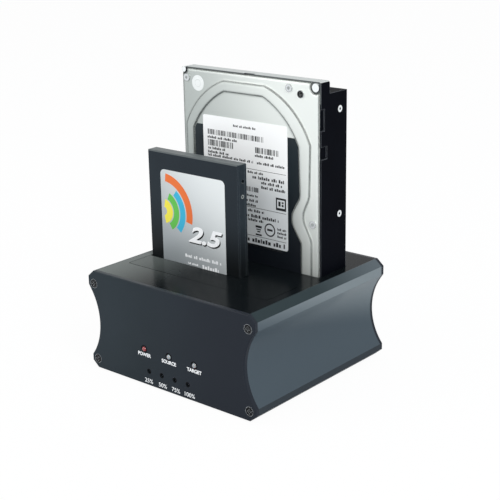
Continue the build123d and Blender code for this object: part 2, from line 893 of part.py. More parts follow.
def ridge_outline(shares, grow):
    """One edge of the ridge: a flat top, platter arcs beside it, and on the right a bend beside the head arm."""
    top_left, top_right, right_bend, *side, left_bend = (hdd_point(*share) for share in shares)
    with BuildSketch() as outline:
        with BuildLine():
            Line(top_left, top_right)
            RadiusArc(top_right, right_bend, hdd_half)
            Polyline(right_bend, *side, left_bend)
            RadiusArc(left_bend, top_left, hdd_half)
        make_face()
        fillet(outline.vertices().group_by(Axis.Y)[0], ridge_corner_share * hdd_height)
        bend_zs = [z for x, z in side[:4]]
        bends = outline.vertices().filter_by(lambda v: v.X > 0 and min(bend_zs) <= v.Y <= max(bend_zs))
        fillet(bends, ridge_bend_share * hdd_height)
        if grow:
            offset(amount=grow, kind=Kind.INTERSECTION)
    return outline.sketch


def make_hdd_cover():
    """Pressed sheet cover with a raised ridge that follows the platters, cut round the corner bosses."""
    corner = 3.0
    ridge_taper = 30.0
    inset_half = hdd_half - cover_inset
    back = ridge_height + cover_thickness
    with BuildSketch() as sheet:
        with Locations((0, hdd_height / 2)):
            RectangleRounded(2 * inset_half, hdd_height - 2 * cover_inset, corner)
    cover = extrude(upright_face(sheet.sketch, back), amount=cover_thickness)
    for x, z, radius in corner_bosses():
        cover -= rod_y(x, 0, back, z, radius + boss_gap)
    outside, inside = (upright_face(ridge_outline(shares, 0), ridge_height) for shares in ridge_shares)
    ridge = extrude(outside, amount=ridge_height, taper=ridge_taper)
    ridge -= extrude(inside, amount=ridge_height, taper=-ridge_taper)
    cover += ridge
    for x, z in cover_screws():
        cover -= rod_y(x, ridge_height, back, z, screw_shank_radius + part_gap)
    return cover


def cover_screws():
    return [hdd_point(*share) for share in cover_screw_shares]


def make_cover_screws():
    """Low round-headed screws through the cover."""
    screws = []
    for x, z in cover_screws():
        screw = rod_y(x, 0, ridge_height, z, cover_screw_radius)
        screws.append(screw + rod_y(x, ridge_height, ridge_height + cover_thickness, z, screw_shank_radius))
    return group(screws)


def make_hdd_label():
    low_share = 0.3225
    high_share = 0.819
    left_share = -0.687
    right_share = 0.557
    corner = 1.5
    x0, z0 = hdd_point(left_share, low_share)
    x1, z1 = hdd_point(right_share, high_share)
    with BuildSketch() as sheet:
        with Locations(((x0 + x1) / 2, (z0 + z1) / 2)):
            RectangleRounded(x1 - x0, z1 - z0, corner)
    return extrude(upright_face(sheet.sketch, ridge_height - damper_thickness), amount=label_thickness)


def make_hdd_damper():
    """Thin damping sheet glued inside the ridge, cut straight at its top, with the label on it."""
    room = 0.5
    top_share = 0.7776
    inside = ridge_outline(ridge_shares[1], -room)
    sheet = extrude(upright_face(inside, ridge_height), amount=damper_thickness)
    return sheet - block(-hdd_half, hdd_half, 0, ridge_height, top_share * hdd_height, hdd_height)


def make_hdd_board():
    """Circuit board screwed into the casting's pocket, cut round the motor hub."""
    y0 = hdd_thickness - hdd_pocket + part_gap
    board = block(-hdd_board_half, hdd_board_half, y0, y0 + hdd_board_thickness, hdd_board_low, hdd_board_high)
    for x, z in hdd_board_screws():
        board -= rod_y(x, y0, y0 + hdd_board_thickness, z, screw_shank_radius + fit_gap)
    return board - rod_y(0, y0, y0 + hdd_board_thickness, well_z, motor_radius + motor_gap)


def make_hdd_board_screws():
    head_height = 0.5
    grip_length = 4.0
    y0 = hdd_thickness - hdd_pocket + part_gap + hdd_board_thickness
    screws = []
    for x, z in hdd_board_screws():
        head = rod_y(x, y0, y0 + head_height, z, cover_screw_radius)
        screws.append(head + rod_y(x, y0 - grip_length, y0, z, screw_shank_radius))
    return group(screws)


# 2.5 inch drive, which its plug holds a little higher than the big one

ssd_corner = 0.8
ssd_case_depth = 5.4
ssd_edge = 0.7
ssd_wall = 1.2
ssd_hole_zs = (14.0, 90.6)
ssd_hole_back = 3.0


def make_ssd_case():
    """Front half of the case: a shallow tray with cut edges, tapped in both sides."""
    hole_radius = 1.25
    hole_depth = 3.0
    boss_radius = 2.6
    case = block(-ssd_half, ssd_half, 0, ssd_case_depth, 0, ssd_height)
    case = fillet(case.edges().filter_by(Axis.Y), ssd_corner)
    case = chamfer(case.faces().sort_by(Axis.Y)[0].edges(), ssd_edge)
    room_half = ssd_half - hole_depth - ssd_wall
    room = block(-room_half, room_half, ssd_wall, ssd_case_depth, plug_room + ssd_wall, ssd_height - ssd_wall)
    for x, z in ssd_screws():
        room -= rod_y(x, ssd_wall, ssd_case_depth, z, boss_radius)
    case -= room
    case -= plug_recess(ssd_x, ssd_thickness)
    for z in ssd_hole_zs:
        for x in (-ssd_half, ssd_half - hole_depth):
            case -= rod_x(x, x + hole_depth, ssd_thickness - ssd_hole_back, z, hole_radius)
    for x, z in ssd_screws():
        case -= rod_y(x, ssd_case_depth - hole_depth, ssd_case_depth, z, board_screw_radius + fit_gap)
    return case


def ssd_screws():
    inset_x = 8.0
    inset_z = 12.0
    return [(side * (ssd_half - inset_x), z) for side in (-1, 1) for z in (inset_z, ssd_height - inset_z)]


def make_ssd_base():
    """Back plate of the case."""
    head_radius = 1.9
    base = block(-ssd_half, ssd_half, ssd_case_depth, ssd_thickness, 0, ssd_height)
    base = fillet(base.edges().filter_by(Axis.Y), ssd_corner)
    base -= plug_recess(ssd_x, ssd_thickness)
    for x, z in ssd_screws():
        base -= rod_y(x, ssd_case_depth, ssd_thickness, z, board_screw_radius + fit_gap)
        base -= rod_y(x, ssd_thickness - ssd_screw_head, ssd_thickness, z, head_radius + part_gap)
    return base


ssd_screw_head = 0.7


def make_ssd_board():
    """Short memory board inside the case, with a row of chips on its front."""
    half = 23.5
    height = 46.0
    thickness = 0.8
    chip = 11.0
    chip_height = 1.2
    chip_pitch = 13.0
    low = plug_room + ssd_wall + part_gap
    y1 = ssd_case_depth - part_gap
    board = block(-half, half, y1 - thickness, y1, low, low + height)
    chip_low = low + (height - chip) / 2
    for x in (-chip_pitch, 0, chip_pitch):
        board += block(x - chip / 2, x + chip / 2, y1 - thickness - chip_height, y1 - thickness, chip_low,
                       chip_low + chip)
    return board


def make_ssd_screws():
    head_radius = 1.9
    grip_length = 2.6
    screws = []
    for x, z in ssd_screws():
        y = ssd_thickness - ssd_screw_head
        head = rod_y(x, y, ssd_thickness, z, head_radius)
        screws.append(head + rod_y(x, y - grip_length, y, z, board_screw_radius))
    return group(screws)


def make_ssd_label():
    half_share = 0.71
    low_share = 0.05
    high_share = 0.897
    corner = 3.0
    height = (high_share - low_share) * ssd_height
    with BuildSketch() as sheet:
        with Locations((0, (high_share + low_share) * ssd_height / 2)):
            RectangleRounded(ssd_width * half_share, height, corner)
    return extrude(upright_face(sheet.sketch, 0), amount=label_thickness)


def make_parts():
    front_bay, rear_bay = bay_ys()
    parts = {
        "shell": make_shell(),
        "front_panel": make_front_panel(),
        "rear_panel": make_rear_panel(),
        "front_panel_screws": make_panel_screws(-1),
        "rear_panel_screws": make_panel_screws(1),
        "rubber_feet": make_feet(),
        "front_bay": make_bay(front_bay),
        "rear_bay": make_bay(rear_bay),
        "front_door": make_closed_door(front_bay),
        "rear_door": swung(make_closed_door(rear_bay), rear_bay, door_open_angle),
        "front_door_pin": make_pin(front_bay),
        "rear_door_pin": make_pin(rear_bay),
        "front_door_spring": make_door_spring(front_bay, 0),
        "rear_door_spring": make_door_spring(rear_bay, door_open_angle),
        "bay_screws": make_bay_screws(),
        "main_board": make_main_board(),
        "front_drive_socket": make_socket(front_bay),
        "rear_drive_socket": make_socket(rear_bay),
        "usb_socket": make_usb_socket(),
        "power_jack": make_power_jack(),
        "power_switch": make_switch_body(),
        "switch_rocker": make_rocker(),
        "copy_button": make_copy_button(),
        "copy_button_switch": make_button_switch(),
        "indicator_board": make_indicator_board(),
        "indicator_header": make_indicator_header(),
        "progress_leds": make_progress_leds(),
        "bridge_chips": make_bridge_chips(),
        "capacitors": make_capacitors(),
    }
    for name, x in zip(lamp_names, lamp_xs()):
        parts[name] = make_lamp(x)
    hdd = {
        "hdd_casting": make_hdd_casting(),
        "hdd_cover": make_hdd_cover(),
        "hdd_cover_screws": make_cover_screws(),
        "hdd_label": make_hdd_label(),
        "hdd_damper": make_hdd_damper(),
        "hdd_board": make_hdd_board(),
        "hdd_board_screws": make_hdd_board_screws(),
        "hdd_plug": make_drive_plug(hdd_x, hdd_thickness),
    }
    ssd = {
        "ssd_case": make_ssd_case(),
        "ssd_base": make_ssd_base(),
        "ssd_board": make_ssd_board(),
        "ssd_case_screws": make_ssd_screws(),
        "ssd_label": make_ssd_label(),
        "ssd_plug": make_drive_plug(ssd_x, ssd_thickness),
    }
    for name, piece in hdd.items():
        parts[name] = placed(piece, hdd_x, rear_bay, hdd_thickness, drive_bottom)
    for name, piece in ssd.items():
        parts[name] = placed(piece, ssd_x, front_bay, ssd_thickness, drive_bottom + ssd_rise)
    return parts


os.makedirs("parts", exist_ok=True)
for node, piece in make_parts().items():
    export_step(piece, os.path.join("parts", node + ".step"))
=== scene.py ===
import math

import bpy
from mathutils import Matrix, Vector


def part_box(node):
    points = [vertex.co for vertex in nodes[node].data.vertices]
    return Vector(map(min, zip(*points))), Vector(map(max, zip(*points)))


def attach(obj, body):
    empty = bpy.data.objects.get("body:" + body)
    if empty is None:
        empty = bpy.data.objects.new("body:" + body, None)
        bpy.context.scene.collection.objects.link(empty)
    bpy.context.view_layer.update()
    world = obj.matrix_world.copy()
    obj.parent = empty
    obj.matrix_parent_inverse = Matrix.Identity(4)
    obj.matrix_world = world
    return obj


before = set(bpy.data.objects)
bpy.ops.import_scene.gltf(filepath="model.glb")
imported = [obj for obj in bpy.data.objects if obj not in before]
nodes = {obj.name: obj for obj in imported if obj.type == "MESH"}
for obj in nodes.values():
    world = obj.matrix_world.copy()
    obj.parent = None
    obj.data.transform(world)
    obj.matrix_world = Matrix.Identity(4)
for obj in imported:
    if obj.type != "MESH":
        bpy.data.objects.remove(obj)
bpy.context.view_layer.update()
scene = bpy.context.scene
scene.view_settings.view_transform = "Standard"

# Camera: right of the front, a little above, as the photograph was taken.
# Its place and roll come from the corners of the two drives, whose sizes are standard.
camera_eye = Vector((0.4278, -0.4900, 0.2798))
camera_target = Vector((0.0104, 0.0, 0.0726))
camera_roll = math.radians(-1.01)
camera_lens = 84.42

bpy.ops.object.camera_add(location=camera_eye)
camera = bpy.context.object
camera.data.lens = camera_lens
facing = (camera_eye - camera_target).to_track_quat("Z", "Y").to_matrix()
camera.rotation_euler = (facing @ Matrix.Rotation(camera_roll, 3, "Z")).to_euler()
scene.camera = camera

# Floor and light: a pale table that fades to white, a bright room and two large soft lamps.
# The camera and the reflections see white, and the lamps and the room give the light.
# From below, the table is left open to view, so the underside shows.
floor_size = 6.0
floor_drop = 0.0002
floor_glow = 0.96
room_strength = 0.66


def display(red, green, blue):
    """A colour as a screen shows it, from 0 to 255, in the linear values of the shaders."""
    shown = (red, green, blue)
    return [(c / 255 / 12.92) if c < 11 else ((c / 255 + 0.055) / 1.055) ** 2.4 for c in shown] + [1.0]


bpy.ops.object.select_all(action="DESELECT")
bpy.ops.mesh.primitive_plane_add(size=floor_size, location=(0, 0, -floor_drop))
floor = bpy.context.object
floor.name = "floor"

floor_paper = bpy.data.materials.new("floor_paper")
floor_paper.use_nodes = True
tree = floor_paper.node_tree
tree.nodes.clear()
paper = tree.nodes.new("ShaderNodeBsdfDiffuse")
paper.inputs["Color"].default_value = display(236, 238, 240)
glow = tree.nodes.new("ShaderNodeEmission")
glow.inputs["Color"].default_value = (1, 1, 1, 1)
ray = tree.nodes.new("ShaderNodeLightPath")
dimmed = tree.nodes.new("ShaderNodeMath")
dimmed.operation = "MULTIPLY"
dimmed.inputs[1].default_value = floor_glow
mix = tree.nodes.new("ShaderNodeMixShader")
open_below = tree.nodes.new("ShaderNodeBsdfTransparent")
from_side = tree.nodes.new("ShaderNodeNewGeometry")
one_sided = tree.nodes.new("ShaderNodeMixShader")
out = tree.nodes.new("ShaderNodeOutputMaterial")
tree.links.new(ray.outputs["Is Camera Ray"], dimmed.inputs[0])
tree.links.new(dimmed.outputs[0], mix.inputs["Fac"])
tree.links.new(paper.outputs[0], mix.inputs[1])
tree.links.new(glow.outputs[0], mix.inputs[2])
tree.links.new(from_side.outputs["Backfacing"], one_sided.inputs["Fac"])
tree.links.new(mix.outputs[0], one_sided.inputs[1])
tree.links.new(open_below.outputs[0], one_sided.inputs[2])
tree.links.new(one_sided.outputs[0], out.inputs["Surface"])
floor.data.materials.append(floor_paper)

world = bpy.data.worlds.new("room")
scene.world = world
world.use_nodes = True
tree = world.node_tree
room_light = tree.nodes["Background"]
room_light.inputs["Color"].default_value = (0.95, 0.97, 1.0, 1)
room_light.inputs["Strength"].default_value = room_strength
white_wall = tree.nodes.new("ShaderNodeBackground")
white_wall.inputs["Color"].default_value = (1, 1, 1, 1)
white_wall.inputs["Strength"].default_value = 1.0
ray = tree.nodes.new("ShaderNodeLightPath")
seen = tree.nodes.new("ShaderNodeMath")
seen.operation = "MAXIMUM"
seen_through = tree.nodes.new("ShaderNodeMath")
seen_through.operation = "MAXIMUM"
mix = tree.nodes.new("ShaderNodeMixShader")
tree.links.new(ray.outputs["Is Camera Ray"], seen.inputs[0])
tree.links.new(ray.outputs["Is Transmission Ray"], seen.inputs[1])
tree.links.new(seen.outputs[0], seen_through.inputs[0])
tree.links.new(ray.outputs["Is Glossy Ray"], seen_through.inputs[1])
tree.links.new(seen_through.outputs[0], mix.inputs["Fac"])
tree.links.new(room_light.outputs[0], mix.inputs[1])
tree.links.new(white_wall.outputs[0], mix.inputs[2])
tree.links.new(mix.outputs[0], tree.nodes["World Output"].inputs["Surface"])


def soft_lamp(name, place, aim, size, power):
    """A square lamp turned towards a point."""
    bpy.ops.object.light_add(type="AREA", location=place)
    lamp = bpy.context.object
    lamp.name = name
    lamp.data.size = size
    lamp.data.energy = power
    lamp.rotation_euler = (Vector(place) - Vector(aim)).to_track_quat("Z", "Y").to_euler()


dock_middle = (0, 0, 0.06)
soft_lamp("key_lamp", (1.3, -0.5, 1.1), dock_middle, size=0.9, power=20)
soft_lamp("fill_lamp", (-0.9, -0.9, 0.9), dock_middle, size=0.8, power=6)


# Shell and panels: one aluminium extrusion with two flat plates, blasted fine and anodised black.
# The dye is a little uneven, the blasting leaves a fine grain, and the edges carry a painted highlight.
# The flanks are painted light that grows towards the rear top, and the lower band and the cut corners are painted
# shade, a shade darker than the flanks; the cut corners also get a painted sheen towards the rear.
def grain_group():
    """Soft blotches and a fine grain, both from 0 to 1, on Object coordinates that can be stretched."""
    group = bpy.data.node_groups.new("grain", "ShaderNodeTree")
    sockets = group.interface
    for name, kind, value in (
        ("Stretch", "NodeSocketVector", (1, 1, 1)),
        ("Blotch Scale", "NodeSocketFloat", 30.0),
        ("Grain Scale", "NodeSocketFloat", 900.0),
    ):
        sockets.new_socket(name, in_out="INPUT", socket_type=kind).default_value = value
    for name in ("Blotch", "Grain"):
        sockets.new_socket(name, in_out="OUTPUT", socket_type="NodeSocketFloat")
    given = group.nodes.new("NodeGroupInput")
    made = group.nodes.new("NodeGroupOutput")
    place = group.nodes.new("ShaderNodeTexCoord")
    stretched = group.nodes.new("ShaderNodeVectorMath")
    stretched.operation = "MULTIPLY"
    group.links.new(place.outputs["Object"], stretched.inputs[0])
    group.links.new(given.outputs["Stretch"], stretched.inputs[1])
    for socket, detail in (("Blotch", 4.0), ("Grain", 2.0)):
        noise = group.nodes.new("ShaderNodeTexNoise")
        noise.inputs["Detail"].default_value = detail
        group.links.new(stretched.outputs[0], noise.inputs["Vector"])
        group.links.new(given.outputs[socket + " Scale"], noise.inputs["Scale"])
        spread = group.nodes.new("ShaderNodeMapRange")
        spread.inputs["From Min"].default_value = 0.3
        spread.inputs["From Max"].default_value = 0.7
        group.links.new(noise.outputs["Fac"], spread.inputs["Value"])
        group.links.new(spread.outputs["Result"], made.inputs[socket])
    return group


def edge_group():
    """Where a surface turns over an edge: 1 on the edge and 0 a width away."""
    group = bpy.data.node_groups.new("edge", "ShaderNodeTree")
    group.interface.new_socket("Width", in_out="INPUT", socket_type="NodeSocketFloat").default_value = 0.0004
    group.interface.new_socket("Full Turn", in_out="INPUT", socket_type="NodeSocketFloat").default_value = 0.75
    group.interface.new_socket("Edge", in_out="OUTPUT", socket_type="NodeSocketFloat")
    given = group.nodes.new("NodeGroupInput")
    made = group.nodes.new("NodeGroupOutput")
    rounded = group.nodes.new("ShaderNodeBevel")
    rounded.samples = 4
    group.links.new(given.outputs["Width"], rounded.inputs["Radius"])
    plain = group.nodes.new("ShaderNodeNewGeometry")
    agree = group.nodes.new("ShaderNodeVectorMath")
    agree.operation = "DOT_PRODUCT"
    group.links.new(rounded.outputs["Normal"], agree.inputs[0])
    group.links.new(plain.outputs["Normal"], agree.inputs[1])
    turned = group.nodes.new("ShaderNodeMapRange")
    turned.inputs["From Min"].default_value = 0.98
    group.links.new(given.outputs["Full Turn"], turned.inputs["From Max"])
    group.links.new(agree.outputs["Value"], turned.inputs["Value"])
    group.links.new(turned.outputs["Result"], made.inputs["Edge"])
    return group


def turned_face_group():
    """Faces turned to a direction: 1 where they also lie past a reach, measured from the origin that way."""
    group = bpy.data.node_groups.new("turned_face", "ShaderNodeTree")
    sockets = group.interface
    sockets.new_socket("Direction", in_out="INPUT", socket_type="NodeSocketVector").default_value = (0, 0, 1)
    sockets.new_socket("Reach", in_out="INPUT", socket_type="NodeSocketFloat").default_value = 0.0
    sockets.new_socket("Mask", in_out="OUTPUT", socket_type="NodeSocketFloat")
    given = group.nodes.new("NodeGroupInput")
    made = group.nodes.new("NodeGroupOutput")
    plain = group.nodes.new("ShaderNodeNewGeometry")
    place = group.nodes.new("ShaderNodeTexCoord")
    both = group.nodes.new("ShaderNodeMath")
    both.operation = "MULTIPLY"
    for i, source in enumerate((plain.outputs["Normal"], place.outputs["Object"])):
        along = group.nodes.new("ShaderNodeVectorMath")
        along.operation = "DOT_PRODUCT"
        group.links.new(source, along.inputs[0])
        group.links.new(given.outputs["Direction"], along.inputs[1])
        step = group.nodes.new("ShaderNodeMath")
        step.operation = "GREATER_THAN"
        step.inputs[1].default_value = 0.7
        group.links.new(along.outputs["Value"], step.inputs[0])
        if i == 1:
            group.links.new(given.outputs["Reach"], step.inputs[1])
        group.links.new(step.outputs[0], both.inputs[i])
    group.links.new(both.outputs[0], made.inputs["Mask"])
    return group


grain = grain_group()
edge = edge_group()
turned_face = turned_face_group()


def drifting(tree, start, end, far_colour):
    """A mix that brings a colour in evenly from one point to another."""
    way = Vector(end) - Vector(start)
    place = tree.nodes.new("ShaderNodeTexCoord")
    along = tree.nodes.new("ShaderNodeVectorMath")
    along.operation = "DOT_PRODUCT"
    along.inputs[1].default_value = way / way.length_squared
    tree.links.new(place.outputs["Object"], along.inputs[0])
    share = tree.nodes.new("ShaderNodeMapRange")
    share.interpolation_type = "SMOOTHSTEP"
    share.inputs["From Min"].default_value = Vector(start).dot(way) / way.length_squared
    share.inputs["From Max"].default_value = Vector(end).dot(way) / way.length_squared
    tree.links.new(along.outputs["Value"], share.inputs["Value"])
    drifted = tree.nodes.new("ShaderNodeMix")
    drifted.data_type = "RGBA"
    drifted.inputs["B"].default_value = far_colour
    tree.links.new(share.outputs["Result"], drifted.inputs["Factor"])
    return drifted


def finish(name, dark, light, smooth, rough, relief, metallic=0.0, coat=0.0, specular=0.5, stretch=(1, 1, 1),
           blotch_scale=30, grain_scale=900, edge_colour=None, edge_width=0.0004, edge_turn=0.75, drift=None,
           facings=(), softness=0.0, fold_shade=None):
    """A finish that wanders between two colours and two roughnesses, with a fine relief and its own edges.

    drift is (start, end, colour): the colour comes in evenly from one point to the other. Each of facings is
    (direction, reach, colour): the colour of faces turned that way that lie past reach in that direction, and
    a start, an end and a colour after these give it a drift of its own.
    softness is the radius over which the light turns round an edge, for sheet that is pressed and not cut, and
    fold_shade is (colour, width): the painted shade that gathers on both sides of its folds."""
    material = bpy.data.materials.new(name)
    material.use_nodes = True
    tree = material.node_tree
    surface = tree.nodes["Principled BSDF"]
    surface.inputs["Metallic"].default_value = metallic
    surface.inputs["Coat Weight"].default_value = coat
    surface.inputs["Coat Roughness"].default_value = 0.12
    surface.inputs["Specular IOR Level"].default_value = specular
    texture = tree.nodes.new("ShaderNodeGroup")
    texture.node_tree = grain
    texture.inputs["Stretch"].default_value = stretch
    texture.inputs["Blotch Scale"].default_value = blotch_scale
    texture.inputs["Grain Scale"].default_value = grain_scale
    colour = tree.nodes.new("ShaderNodeMix")
    colour.data_type = "RGBA"
    colour.inputs["A"].default_value = dark
    colour.inputs["B"].default_value = light
    tree.links.new(texture.outputs["Blotch"], colour.inputs["Factor"])
    tint = colour.outputs["Result"]
    if drift:
        drifted = drifting(tree, *drift)
        tree.links.new(tint, drifted.inputs["A"])
        tint = drifted.outputs["Result"]
    for direction, reach, face_colour, *face_drift in facings:
        side = tree.nodes.new("ShaderNodeGroup")
        side.node_tree = turned_face
        side.inputs["Direction"].default_value = direction
        side.inputs["Reach"].default_value = reach
        faced = tree.nodes.new("ShaderNodeMix")
        faced.data_type = "RGBA"
        faced.inputs["B"].default_value = face_colour
        if face_drift:
            drifted = drifting(tree, *face_drift)
            drifted.inputs["A"].default_value = face_colour
            tree.links.new(drifted.outputs["Result"], faced.inputs["B"])
        tree.links.new(tint, faced.inputs["A"])
        tree.links.new(side.outputs["Mask"], faced.inputs["Factor"])
        tint = faced.outputs["Result"]
    # Edge lines are painted: a painted highlight or painted shade along edges, and painted shade beside folds.
    lines = []
    if fold_shade:
        lines.append((*fold_shade, 0.9))
    if edge_colour:
        lines.append((edge_colour, edge_width, edge_turn))
    for line_colour, width, turn in lines:
        rim = tree.nodes.new("ShaderNodeGroup")
        rim.node_tree = edge
        rim.inputs["Width"].default_value = width
        rim.inputs["Full Turn"].default_value = turn
        painted_edge_tone = tree.nodes.new("ShaderNodeMix")
        painted_edge_tone.data_type = "RGBA"
        painted_edge_tone.inputs["B"].default_value = line_colour
        tree.links.new(tint, painted_edge_tone.inputs["A"])
        tree.links.new(rim.outputs["Edge"], painted_edge_tone.inputs["Factor"])
        tint = painted_edge_tone.outputs["Result"]
    tree.links.new(tint, surface.inputs["Base Color"])
    gloss = tree.nodes.new("ShaderNodeMapRange")
    gloss.inputs["To Min"].default_value = smooth
    gloss.inputs["To Max"].default_value = rough
    tree.links.new(texture.outputs["Blotch"], gloss.inputs["Value"])
    tree.links.new(gloss.outputs["Result"], surface.inputs["Roughness"])
    bump = tree.nodes.new("ShaderNodeBump")
    bump.inputs["Strength"].default_value = relief
    bump.inputs["Distance"].default_value = 0.0001
    tree.links.new(texture.outputs["Grain"], bump.inputs["Height"])
    if softness:
        pressed = tree.nodes.new("ShaderNodeBevel")
        pressed.samples = 8
        pressed.inputs["Radius"].default_value = softness
        tree.links.new(pressed.outputs["Normal"], bump.inputs["Normal"])
    tree.links.new(bump.outputs["Normal"], surface.inputs["Normal"])
    return material


def cover_node(material, *names):
    """Gives CAD nodes their finish."""
    for name in names:
        for slot in nodes[name].material_slots:
            slot.material = material


shell_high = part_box("shell")[1]
flank_reach = 0.03
flank_painted_light = display(68, 78, 85)
flank_painted_sheen = ((0, 0, 0.0345), (0, 0.0065, 0.0603), display(114, 123, 127))
lower_band_top = 0.0088
band_reach = shell_high.x - lower_band_top / 2
band_painted_shade = display(50, 56, 61)
cut_across, cut_up = 0.65, 0.76
cut_depth = 0.0032
cut_reach = cut_across * shell_high.x + cut_up * shell_high.z - cut_depth
cut_painted_shade = display(45, 55, 58)
cut_painted_sheen = ((0, -0.01, 0), (0, 0.06, 0), display(84, 93, 98))
shell_painted_faces = []
for side in (1, -1):
    shell_painted_faces.append(((side, 0, 0), flank_reach, flank_painted_light, *flank_painted_sheen))
    shell_painted_faces.append(((side, 0, -0.5), band_reach, band_painted_shade))
    shell_painted_faces.append(((side * cut_across, 0, cut_up), cut_reach, cut_painted_shade, *cut_painted_sheen))
# The shell's flanks, lower band and cut corners take painted light and shade by the way they face, and the top's
# left part is painted lighter, a painted reflection.
shell_black = finish("shell_anodised", display(12, 16, 18), display(16, 20, 23), smooth=0.18, rough=0.24,
                     relief=0.02, specular=0.03, blotch_scale=14, edge_colour=display(34, 40, 44),
                     edge_width=0.0003, drift=((-0.005, 0, 0), (-0.065, 0, 0), display(104, 110, 108)),
                     facings=shell_painted_faces)
cover_node(shell_black, "shell")
# The plates are painted darker towards the right, a painted shade, and their edges are painted dark, a painted
# shade where they meet the shell.
panel_black = finish("panel_anodised", display(33, 42, 47), display(38, 47, 53), smooth=0.3, rough=0.38,
                     relief=0.05, specular=0.12, edge_colour=display(17, 20, 23), edge_width=0.0003,
                     drift=((-0.05, 0, 0), (0.05, 0, 0), display(29, 34, 42)))
cover_node(panel_black, "front_panel", "rear_panel")

# Panel screws: countersunk, with a cross recess, in black zinc.
# The rim and the edges of the recess carry a painted highlight, light lines for the glints they catch.
black_zinc = finish("black_zinc", display(9, 10, 12), display(15, 16, 18), smooth=0.22, rough=0.34,
                    relief=0.1, specular=0.15, edge_colour=display(206, 210, 213), edge_width=0.00022)
cover_node(black_zinc, "front_panel_screws", "rear_panel_screws")

# Printed marks on the front panel: white ink, a word under each round lamp and a share under each small one.
# The ink is a thin film that stands just proud of the panel.
panel_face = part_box("front_panel")[0].y
ink_film = 0.00003
word_names = {"power_led": "POWER", "source_led": "SOURCE", "target_led": "TARGET"}
word_drop = 0.0034
word_size = 0.0029
word_bold = 0.00009
share_xs = (-0.0165, -0.0055, 0.0047, 0.0150)
share_z = 0.0040
share_size = 0.0036
share_bold = 0.00001
share_spread = 1.08

white_ink = finish("white_ink", display(244, 246, 247), display(252, 253, 253), smooth=0.5, rough=0.6,
                   relief=0.1)


def printed_text(words, x, y, z, size, lean=0.0, bold=0.0, spread=1.0):
    """Words printed upright on a face that looks to the front, as a thin closed film."""
    bpy.ops.object.select_all(action="DESELECT")
    bpy.ops.object.text_add(location=(x, y, z), rotation=(math.pi / 2, 0, 0))
    text = bpy.context.object
    text.data.body = words
    text.data.size = size
    text.data.shear = lean
    text.data.align_x = "CENTER"
    text.data.align_y = "CENTER"
    text.data.extrude = ink_film
    text.data.offset = bold
    bpy.ops.object.convert(target="MESH")
    piece = bpy.context.object
    piece.scale.x = spread
    bpy.ops.object.transform_apply(location=True, rotation=True, scale=True)
    return piece


def joined(pieces, name):
    """Several pieces of one kind as one object with its place in its mesh."""
    bpy.ops.object.select_all(action="DESELECT")
    for piece in pieces:
        piece.select_set(True)
    bpy.context.view_layer.objects.active = pieces[0]
    if len(pieces) > 1:
        bpy.ops.object.join()
    piece = bpy.context.object
    piece.name = name
    bpy.ops.object.transform_apply(location=True, rotation=True, scale=True)
    return piece


def hand_over(piece, material, body):
    """A finished piece gets its finish and the body it rides on."""
    piece.data.materials.clear()
    piece.data.materials.append(material)
    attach(piece, body)


words = []
for node, word in word_names.items():
    low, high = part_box(node)
    word_z = (low.z + high.z) / 2 - word_drop
    words.append(printed_text(word, (low.x + high.x) / 2, panel_face, word_z, word_size, bold=word_bold))
for x, share_text in zip(share_xs, ("25%", "50%", "75%", "100%")):
    words.append(printed_text(share_text, x, panel_face, share_z, share_size,
                              bold=share_bold, spread=share_spread))
hand_over(joined(words, "front_marks"), white_ink, "dock")

# Lamps: epoxy resin domes, one dyed red, the others clear.
# They are unlit, so the resin shows its own colour under a wet gloss.
def resin(name, colour, depth):
    """Clear or dyed resin, wet to look at, that lets a little light in."""
    material = finish(name, colour, depth, smooth=0.04, rough=0.1, relief=0.0, coat=1.0, blotch_scale=300)
    surface = material.node_tree.nodes["Principled BSDF"]
    surface.inputs["Subsurface Weight"].default_value = 0.3
    surface.inputs["Subsurface Scale"].default_value = 0.001
    return material


cover_node(resin("red_resin", display(120, 16, 24), display(150, 26, 34)), "power_led")
cover_node(resin("clear_resin", display(126, 134, 138), display(150, 157, 160)), "source_led", "target_led")
cover_node(resin("smoke_resin", display(60, 66, 72), display(96, 102, 108)), "progress_leds")

# Doors: moulded flaps in black plastic with a fine spark-eroded texture, flush with the top.
# Each turns on its own pin. Its edges are painted near black, a painted shade that keeps the gap round it dark,
# and its left part is painted lighter, a painted reflection like the shell's top.
door_plastic = finish("door_plastic", display(12, 16, 18), display(17, 21, 23), smooth=0.22, rough=0.28,
                      relief=0.03, specular=0.03, grain_scale=1600, edge_colour=display(5, 7, 7),
                      edge_width=0.0007, edge_turn=0.86,
                      drift=((-0.005, 0, 0), (-0.065, 0, 0), display(98, 104, 102)))
cover_node(door_plastic, "front_door", "rear_door")

# Bays: black mouldings under the slots, left as they come from the tool.
# Screws hold them to the main board, and little light reaches them.
bay_plastic = finish("bay_plastic", display(14, 15, 16), display(20, 21, 23), smooth=0.5, rough=0.62,
                     relief=0.4, specular=0.2, grain_scale=1400)
cover_node(bay_plastic, "front_bay", "rear_bay")

# Pins, springs, inner screws and the data socket's shield: drawn wire, zinc-plated screws and tinned sheet.
# All are bright steel, with fine lines along the pins.
bright_steel = finish("bright_steel", display(150, 153, 156), display(196, 199, 202), smooth=0.18, rough=0.34,
                      relief=0.2, metallic=1.0, stretch=(0.2, 1, 1), grain_scale=2000)
cover_node(bright_steel, "front_door_pin", "rear_door_pin", "front_door_spring", "rear_door_spring", "bay_screws",
           "usb_socket", "hdd_board_screws", "ssd_case_screws")

# Feet: soft black rubber discs, stuck on under the four corners.
# They are dull, with a faint bloom.
foot_rubber = finish("foot_rubber", display(22, 22, 23), display(34, 34, 36), smooth=0.75, rough=0.9,
                     relief=0.6, grain_scale=700)
cover_node(foot_rubber, "rubber_feet")

